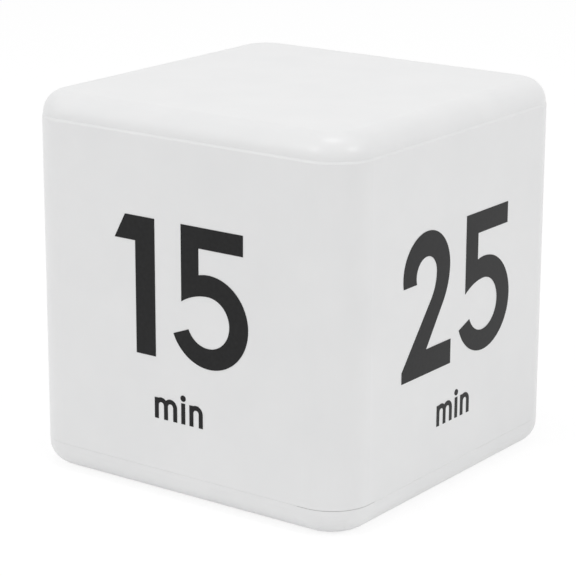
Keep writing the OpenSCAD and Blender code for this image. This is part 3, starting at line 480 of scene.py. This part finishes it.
def makeCell(name, node, plus):  # plus is the end that the button is at, 1 or -1 along X
    low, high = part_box(node)
    middle, across = (low + high) / 2, high.y - low.y
    minusX, plusX = (low.x, high.x) if plus > 0 else (high.x, low.x)
    shoulderX = plusX - plus * cellLook["buttonTall"] * mm
    pickNothing()
    bpy.ops.mesh.primitive_cylinder_add(
        vertices=cellLook["sides"], radius=across / 2, depth=abs(shoulderX - minusX),
        rotation=(0, math.pi / 2, 0), location=((shoulderX + minusX) / 2, middle.y, middle.z))
    cell = settle(nameNew(name))
    sink, button = plus * cellLook["sink"], cellLook["buttonAcross"] / 2
    collar = across / mm / 2 - cellLook["lip"] - cellLook["washer"]
    pickFaces(cell, lambda spot, normal: normal.x * plus > faceOn)
    insetBy(cellLook["lip"])
    pushBy(-sink, 0, 0)
    insetBy(cellLook["washer"])
    pushBy(sink, 0, 0)
    insetBy(collar - button)
    pushBy(plus * cellLook["buttonTall"], 0, 0)
    pickFaces(cell, lambda spot, normal: normal.x * plus < -faceOn and abs(spot.x - minusX) < near)
    insetBy(cellLook["lip"])
    pushBy(sink, 0, 0)
    insetBy(cellLook["endRim"])
    pushBy(-plus * cellLook["endRise"], 0, 0)

    def reach(point):
        return math.hypot(point.y - middle.y, point.z - middle.z)

    def onLip(a, b):
        return min(reach(a), reach(b)) > across / 2 - near and abs(a.x - b.x) < near

    roundEdges(cell, onLip, cellLook["lipRound"])
    roundEdges(cell, lambda a, b: abs(a.x - plusX) + abs(b.x - plusX) < near, cellLook["buttonRound"])
    cell.data.materials.append(makeWrap(name + "Wrap", minusX, plusX))
    cell.data.materials.append(plateFinish)
    for face in cell.data.polygons:
        face.material_index = int(reach(face.center) < across / 2 - cellLook["wrapOver"] * mm)
    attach(smooth(cell), "case")
    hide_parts(node)


makeCell("cellBack", "cell_back", 1)
makeCell("cellFront", "cell_front", -1)
print("cells: 2")


# Wire pieces: contact springs and leads, each drawn as a round wire along its path
def drawWire(name, path, across):  # the path and the width in millimetres
    line = bpy.data.curves.new(name, "CURVE")
    line.dimensions = "3D"
    line.bevel_depth = across * mm / 2
    line.bevel_resolution = wireRound
    line.use_fill_caps = True
    run = line.splines.new("POLY")
    run.points.add(len(path) - 1)
    for point, place in zip(run.points, path):
        point.co = (*(Vector(place) * mm), 1)
    wire = bpy.data.objects.new(name, line)
    bpy.context.collection.objects.link(wire)
    pickOnly(wire)
    bpy.ops.object.convert(target="MESH")
    return smooth(nameNew(name), angle=60)


springLook = {
    "wire": 0.5, "footRadius": 3.6, "tipRadius": 1.8, "length": 3.5,
    "turns": 2.5, "deadTurns": 0.8, "steps": 32,  # steps in a turn
    "finish": {
        "tones": ((0.60, 0.60, 0.59), (0.74, 0.74, 0.73)), "cloud": 0.5,
        "grain": 0.08, "rough": (0.18, 0.3), "depth": 0.002, "strength": 0.4, "sockets": {"Metallic": 1.0},
    },
}
springFinish = makeFinish("springWire", springLook["finish"])


def springPath():  # flat turn on the plate, open turns, and a flat turn against the cell
    look, path = springLook, []
    whole = look["turns"] + 2 * look["deadTurns"]
    for step in range(round(whole * look["steps"]) + 1):
        turn = step / look["steps"] - look["deadTurns"]
        share = min(max(turn / look["turns"], 0), 1)
        radius = look["footRadius"] + share * (look["tipRadius"] - look["footRadius"])
        height = look["wire"] / 2 + share * (look["length"] - look["wire"])
        angle = 2 * math.pi * turn
        path.append((radius * math.cos(angle), radius * math.sin(angle), height))
    return path


def makeSpring(name, node, cellNode, facing):  # facing is the way from the plate to the cell, along X
    low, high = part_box(cellNode)
    axis = (low + high) / 2 / mm
    plateX = (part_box(node)[0].x if facing > 0 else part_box(node)[1].x) / mm
    path = [(plateX + facing * z, axis.y + y, axis.z - facing * x) for x, y, z in springPath()]
    spring = drawWire(name, path, springLook["wire"])
    spring.data.materials.append(springFinish)
    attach(spring, "case")
    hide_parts(node)


makeSpring("springNegative", "spring_negative", "cell_back", 1)
makeSpring("springBridge", "spring_bridge", "cell_front", -1)

leadLook = {
    "batteryAcross": 1.2, "sounderAcross": 0.8, "steps": 8,
    "core": 0.45, "bared": 0.25,  # shares of the lead's width and of its end spans
    "batteryRoute": [(-24.2, 5.65, 42.3), (-24.2, 5.65, 39.3), (-23.4, 5.2, 34.3), (-21.8, 4.6, 28.0),
                     (-22.4, 4.2, 20.0), (-20.2, 3.5, 12.6), (-20.2, 3.5, 8.6)],
    "sounderBow": 1.2, "sounderStraight": 0.2,  # the second is a share of the lead's height
    "solderAcross": 2.0, "solderTall": 0.8, "solderSides": 24,
    "solderRings": (1.0, 0.71, 0.54, 0.46, 0.4),  # shares of the solder's width, from its foot to its top
    "red": ((0.42, 0.016, 0.012), (0.52, 0.03, 0.022)),
    "black": ((0.012, 0.012, 0.013), (0.024, 0.024, 0.025)),
    "finish": {"cloud": 1.2, "grain": 0.1, "rough": (0.42, 0.58), "depth": 0.006, "strength": 0.4},
}
leadFinish = {tone: makeFinish(tone + "Lead", {**leadLook["finish"], "tones": leadLook[tone]})
              for tone in ("red", "black")}
solderLook = {
    "tones": ((0.66, 0.66, 0.66), (0.76, 0.76, 0.75)), "cloud": 0.3,
    "grain": 0.08, "rough": (0.2, 0.36), "depth": 0.004, "strength": 0.4, "sockets": {"Metallic": 1.0},
}
solderFinish = makeFinish("solder", solderLook)


def throughPoints(points, steps):  # smooth path through the points, straight in its first and last span
    path = [points[0]]
    run = [Vector(p) for p in points[1:-1]]
    for i in range(len(run) - 1):
        a, b, c, d = run[max(i - 1, 0)], run[i], run[i + 1], run[min(i + 2, len(run) - 1)]
        for step in range(steps):
            t = step / steps
            path.append(b + (c - a) / 2 * t + (2 * a - 5 * b + 4 * c - d) / 2 * t ** 2
                        + (3 * b - a - 3 * c + d) / 2 * t ** 3)
    return path + [run[-1], points[-1]]


def solderDrop(place):  # a fillet of solder that wets up a wire, its foot at the given place
    rings = leadLook["solderRings"]
    step = leadLook["solderTall"] / (len(rings) - 1)
    foot, reach = place * mm, leadLook["solderAcross"] * mm / 2
    pickNothing()
    bpy.ops.mesh.primitive_cone_add(
        vertices=leadLook["solderSides"], radius1=reach * rings[0], radius2=reach * rings[1], depth=step * mm,
        location=foot + Vector((0, 0, step * mm / 2)))
    drop = settle(nameNew("solderDrop"))
    pickFaces(drop, lambda spot, normal: normal.z > faceOn)
    for under, over in zip(rings[1:], rings[2:]):
        pushBy(0, 0, step)
        bpy.ops.transform.resize(value=(over / under, over / under, 1), center_override=foot)
    bpy.ops.object.mode_set(mode="OBJECT")
    drop.data.materials.append(solderFinish)
    return smooth(drop, angle=60)


def makeLead(name, node, points, across, tone, padUnder):
    path = [Vector(p) for p in throughPoints(points, leadLook["steps"])]
    core = drawWire(name + "Core", path, across * leadLook["core"])
    core.data.materials.append(solderFinish)
    covered = path[:]
    covered[0] = path[0].lerp(path[1], leadLook["bared"])
    covered[-1] = path[-1].lerp(path[-2], leadLook["bared"])
    cover = drawWire(name + "Cover", covered, across)
    cover.data.materials.append(leadFinish[tone])
    parts = [core, cover]
    if padUnder:
        parts.append(solderDrop(path[-1]))
    lead = joinPieces(parts, name)
    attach(lead, "case")
    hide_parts(node)


def sounderRoute(node):  # straight out of the disc, bowed out, and straight into the board
    low, high = (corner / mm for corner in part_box(node))
    x, y = low.x + leadLook["sounderAcross"] / 2, (low.y + high.y) / 2
    straight = leadLook["sounderStraight"] * (high.z - low.z)
    return [(x, y, low.z), (x, y, low.z + straight), (x + leadLook["sounderBow"], y, (low.z + high.z) / 2),
            (x, y, high.z - straight), (x, y, high.z)]


backRoute = leadLook["batteryRoute"]
frontRoute = [(x, -y, z) for x, y, z in backRoute]
makeLead("leadNegative", "lead_negative", backRoute, leadLook["batteryAcross"], "black", padUnder=True)
makeLead("leadPositive", "lead_positive", frontRoute, leadLook["batteryAcross"], "red", padUnder=True)
sounderLeads = [("sounderLeadA", "buzzer_lead_a", "red"), ("sounderLeadB", "buzzer_lead_b", "black")]
for name, node, tone in sounderLeads:
    makeLead(name, node, sounderRoute(node), leadLook["sounderAcross"], tone, padUnder=False)
print("wires: 2 springs and 4 leads")

# Case screws: pan head with a cross recess, plain shank and a blunt tip
screwShape = {
    "headAcross": 4.6, "headTall": 1.7, "headRound": 0.75, "shankAcross": 1.9, "sides": 48,
    "tipTall": 0.9, "tipShare": 0.4,  # the tip's end, as a share of the shank
    "recessAcross": 2.5, "recessWide": 0.6, "recessDeep": 1.0, "recessTaper": 0.55,
    "turns": {(1, 1): 0.3, (1, -1): 1.1, (-1, 1): 0.8, (-1, -1): 0.1},  # of the screw at each corner
}


def cutRecess(screw, top):
    look = screwShape
    for turn in (0, math.pi / 2):
        pickNothing()
        bpy.ops.mesh.primitive_cube_add(size=1, location=(0, 0, top), rotation=(0, 0, turn), scale=(
            look["recessAcross"] * mm, look["recessWide"] * mm, 2 * look["recessDeep"] * mm))
        arm = settle(nameNew("recessArm"))
        pickFaces(arm, lambda spot, normal: normal.z < -faceOn)
        bpy.ops.transform.resize(value=(look["recessTaper"],) * 3,
                                 center_override=(0, 0, top - look["recessDeep"] * mm))
        cutBy(screw, arm)


def makeScrews():
    look = screwShape
    low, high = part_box("case_screws")
    seat = high.z - look["headTall"] * mm
    pickNothing()
    bpy.ops.mesh.primitive_cylinder_add(
        vertices=look["sides"], radius=look["headAcross"] * mm / 2, depth=look["headTall"] * mm,
        location=(0, 0, seat + look["headTall"] * mm / 2))
    screw = settle(nameNew("screw"))
    pickFaces(screw, lambda spot, normal: normal.z < -faceOn)
    insetBy((look["headAcross"] - look["shankAcross"]) / 2)
    pushBy(0, 0, (low.z - seat) / mm + look["tipTall"])
    pushBy(0, 0, -look["tipTall"])
    bpy.ops.transform.resize(value=(look["tipShare"], look["tipShare"], 1), center_override=(0, 0, low.z))
    roundEdges(screw, lambda a, b: min(a.z, b.z) > high.z - near, look["headRound"], segments=5)
    cutRecess(screw, high.z)
    at = high.x - look["headAcross"] * mm / 2
    copies = [copyTo(screw, (sx * at, sy * at, 0), turn) for (sx, sy), turn in look["turns"].items()]
    discard(screw)
    screws = joinPieces(copies, "caseScrews")
    screws.data.materials.clear()
    screws.data.materials.append(screwFinish)
    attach(smooth(screws), "case")
    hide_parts("case_screws")


makeScrews()
print("case screws: 4")

# Moulded plus and minus signs on the deck, beside the ends of the cells
signLook = {"arm": 4.4, "wide": 0.9, "tall": 0.45, "round": 0.15, "at": (16.5, 16.8)}


def makeSigns():
    look = signLook
    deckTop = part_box("case_screws")[1].z - screwShape["headTall"] * mm  # the screw heads sit on the deck
    pickNothing()
    bpy.ops.mesh.primitive_cube_add(size=1, location=(0, 0, deckTop + look["tall"] * mm / 2),
                                    scale=(look["arm"] * mm, look["wide"] * mm, look["tall"] * mm))
    bar = settle(nameNew("signBar"))
    roundEdges(bar, lambda a, b: min(a.z, b.z) > deckTop + look["tall"] * mm - near, look["round"])
    x, y = (v * mm for v in look["at"])
    bars = []
    for side in (-1, 1):  # the back cell has its plus at +X, the front cell at -X
        bars.append(copyTo(bar, (-side * x, side * y, 0)))
        bars.append(copyTo(bar, (side * x, side * y, 0)))
        bars.append(copyTo(bar, (side * x, side * y, 0), math.pi / 2))
    discard(bar)
    signs = joinPieces(bars, "polaritySigns")
    signs.data.materials.append(trayFinish)
    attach(smooth(signs), "case")


makeSigns()
print("signs on the deck: 4")

# Display: the dark bars of 00:00 on the lower side of the rear glass, read from below
segmentLook = {
    "digitTall": 9.0, "digitWide": 4.6, "bar": 0.95, "gap": 0.16, "thick": 0.04, "pitch": 6.3,
    "tipShare": 0.1,  # a bar's pointed end, as a share of its width
    "colonRoom": 2.2, "colonRise": 1.9, "dotSides": 20,
    "finish": {
        "tones": ((0.010, 0.011, 0.012), (0.020, 0.021, 0.022)), "cloud": 1.0,
        "grain": 0.1, "rough": (0.45, 0.6), "depth": 0.002, "strength": 0.3,
    },
}


def makeBar(name, length):  # a flat bar along X with pointed ends, in the middle of the frame
    look = segmentLook
    body = length - look["bar"]
    pickNothing()
    bpy.ops.mesh.primitive_cube_add(size=1, scale=(body * mm, look["bar"] * mm, look["thick"] * mm))
    bar = settle(nameNew(name))
    for side in (-1, 1):
        pickFaces(bar, lambda spot, normal: normal.x * side > faceOn)
        pushBy(side * look["bar"] / 2, 0, 0)
        tip = (side * length * mm / 2, 0, 0)
        bpy.ops.transform.resize(value=(1, look["tipShare"], 1), center_override=tip)
        bpy.ops.object.mode_set(mode="OBJECT")
    return bar


def makeSegments():
    look = segmentLook
    low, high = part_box("lcd_rear_glass")
    middleY = (low.y + high.y) / 2
    z = low.z - look["thick"] * mm / 2
    levelLong = look["digitWide"] - look["bar"] - look["gap"]
    across = levelLong * mm  # between the middles of the upright bars
    half = (look["digitTall"] - look["bar"]) * mm / 2
    level = makeBar("levelBar", levelLong)
    upright = makeBar("uprightBar", (look["digitTall"] - look["bar"]) / 2 - look["gap"])
    bars = []
    for step in (-1.5, -0.5, 0.5, 1.5):  # the four digits, in pitches from the colon
        x = (step * look["pitch"] + math.copysign(look["colonRoom"] / 2, step)) * mm
        for side in (-1, 1):
            bars.append(copyTo(level, (x, middleY + side * half, z)))
            for end in (-1, 1):
                place = (x + end * across / 2, middleY + side * half / 2, z)
                bars.append(copyTo(upright, place, math.pi / 2))
    for side in (-1, 1):
        pickNothing()
        bpy.ops.mesh.primitive_cylinder_add(
            vertices=look["dotSides"], radius=look["bar"] * mm / 2, depth=look["thick"] * mm,
            location=(0, middleY + side * look["colonRise"] * mm, z))
        dot = settle(nameNew("colonDot"))
        roundEdges(dot, lambda a, b: max(a.z, b.z) < z, look["thick"] / 4, segments=2)
        bars.append(dot)
    discard(level)
    discard(upright)
    digits = joinPieces(bars, "displayDigits")
    digits.data.materials.append(makeFinish("darkSegment", look["finish"]))
    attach(digits, "case")


makeSegments()

# Printed border on the inner side of the lens, round the window
borderLook = {
    "wide": 3.45, "corner": 2.0, "windowCorner": 1.0, "inset": 0.05, "thick": 0.02,
    "finish": {
        "tones": ((0.014, 0.015, 0.016), (0.026, 0.027, 0.028)), "cloud": 2.0,
        "grain": 0.15, "rough": (0.4, 0.55), "depth": 0.002, "strength": 0.3,
    },
}


def roundedSlab(name, middle, size, corner):
    pickNothing()
    bpy.ops.mesh.primitive_cube_add(size=1, location=middle, scale=size)
    slab = settle(nameNew(name))
    roundEdges(slab, lambda a, b: abs(a.z - b.z) > size.z / 2, corner, segments=6)
    return slab


def makeBorder():
    look = borderLook
    low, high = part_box("lcd_lens")
    inset, wide, thick = (look[key] * mm for key in ("inset", "wide", "thick"))
    outer = Vector((high.x - low.x - 2 * inset, high.y - low.y - 2 * inset, thick))
    opening = Vector((outer.x - 2 * wide, outer.y - 2 * wide, 3 * thick))  # thicker, so that it cuts through
    middle = Vector(((low.x + high.x) / 2, (low.y + high.y) / 2, high.z - inset - thick / 2))
    border = roundedSlab("lensBorder", middle, outer, look["corner"])
    cutBy(border, roundedSlab("borderOpening", middle, opening, look["windowCorner"]))
    border.data.materials.append(makeFinish("borderPrint", look["finish"]))
    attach(smooth(border), "case")


makeBorder()

# Words for the switch's three places, printed on the floor of its recess and read from below
wordLook = {
    "words": ("OFF", "LO", "HI"), "pitch": 4.5, "above": 3.3, "thick": 0.03,
    "capTall": 1.25, "capShare": 0.7,  # height of a capital, and its share of the text size
    "recess": 1.2,  # depth of the recess
}


def makeWords():
    look = wordLook
    low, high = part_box("switch_knob")
    middle = (low + high) / 2
    words = []
    for side, word in zip((1, 0, -1), look["words"]):
        pickNothing()
        bpy.ops.object.text_add()
        label = nameNew("switchWord")
        label.data.body = word
        label.data.align_x, label.data.align_y = "CENTER", "CENTER"
        label.data.size = look["capTall"] * mm / look["capShare"]
        label.data.extrude = look["thick"] * mm / 2
        pickOnly(label)
        bpy.ops.object.convert(target="MESH")
        label = bpy.context.object
        label.location = (middle.x + side * look["pitch"] * mm, middle.y + look["above"] * mm,
                          (look["recess"] - look["thick"] / 2) * mm)
        label.rotation_euler = (0, math.pi, 0)
        words.append(settle(label))
    wordPrint = joinPieces(words, "switchWords")
    wordPrint.data.materials.clear()
    wordPrint.data.materials.append(bpy.data.materials["printInk"])
    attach(wordPrint, "case")


makeWords()
print("underside: display digits, lens border and switch words")
